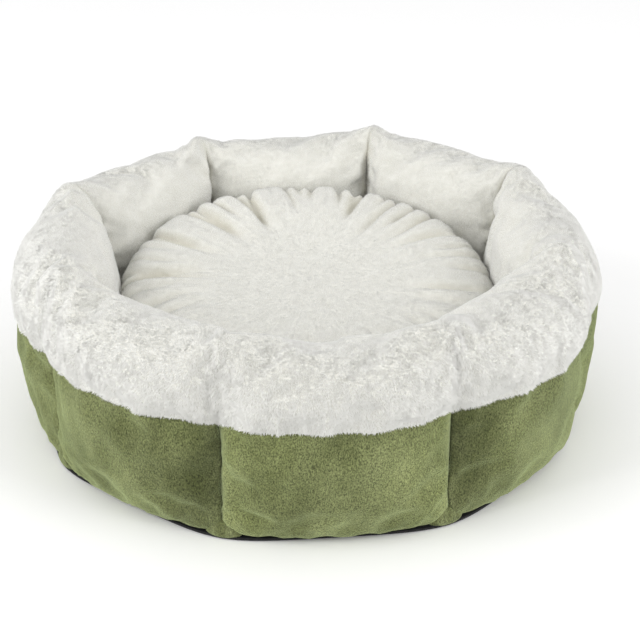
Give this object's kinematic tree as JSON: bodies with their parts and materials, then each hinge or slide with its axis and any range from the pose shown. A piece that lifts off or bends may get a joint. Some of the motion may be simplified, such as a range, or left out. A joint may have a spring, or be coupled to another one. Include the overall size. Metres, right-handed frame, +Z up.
{
  "type": "pet cushion bed",
  "caption": "Octagonal padded pet bed with green velvet sides, a raised white plush wall and a loose round plush cushion inside.",
  "frame": {"origin": "centre of the underside, on the surface the bed stands on", "axes": "+Z up; the front wall, the lowest one, faces -Y; +X to the right seen from the front"},
  "size_m": [0.503, 0.503, 0.187],
  "materials": {
    "green_pile": "short sage green pile with brushed light and dark patches",
    "white_plush": "fluffy off-white plush, pile about 8 mm",
    "fibre_fill": "loose polyester fibre",
    "black_sheet": "black non-woven sheet with small grip dots",
    "white_lining": "plain off-white woven lining"
  },
  "bodies": {
    "bed": {"base_nonslip_sheet": "black_sheet", "base_pad": "fibre_fill", "base_lining": "white_lining", "outer_panel_1": "green_pile", "rim_panel_1": "white_plush", "wall_fill_1": "fibre_fill", "outer_panel_2": "green_pile", "rim_panel_2": "white_plush", "wall_fill_2": "fibre_fill", "outer_panel_3": "green_pile", "rim_panel_3": "white_plush", "wall_fill_3": "fibre_fill", "outer_panel_4": "green_pile", "rim_panel_4": "white_plush", "wall_fill_4": "fibre_fill", "outer_panel_5": "green_pile", "rim_panel_5": "white_plush", "wall_fill_5": "fibre_fill", "outer_panel_6": "green_pile", "rim_panel_6": "white_plush", "wall_fill_6": "fibre_fill", "outer_panel_7": "green_pile", "rim_panel_7": "white_plush", "wall_fill_7": "fibre_fill", "outer_panel_8": "green_pile", "rim_panel_8": "white_plush", "wall_fill_8": "fibre_fill"},
    "cushion": {"cushion_cover_top": "white_plush", "cushion_cover_bottom": "white_lining", "cushion_fill": "fibre_fill"}
  },
  "joints": [
    {"name": "cushion_lift", "type": "slide", "parent": "bed", "child": "cushion", "axis": [0, 0, 1], "range_m": [0, 0.2]}
  ]
}
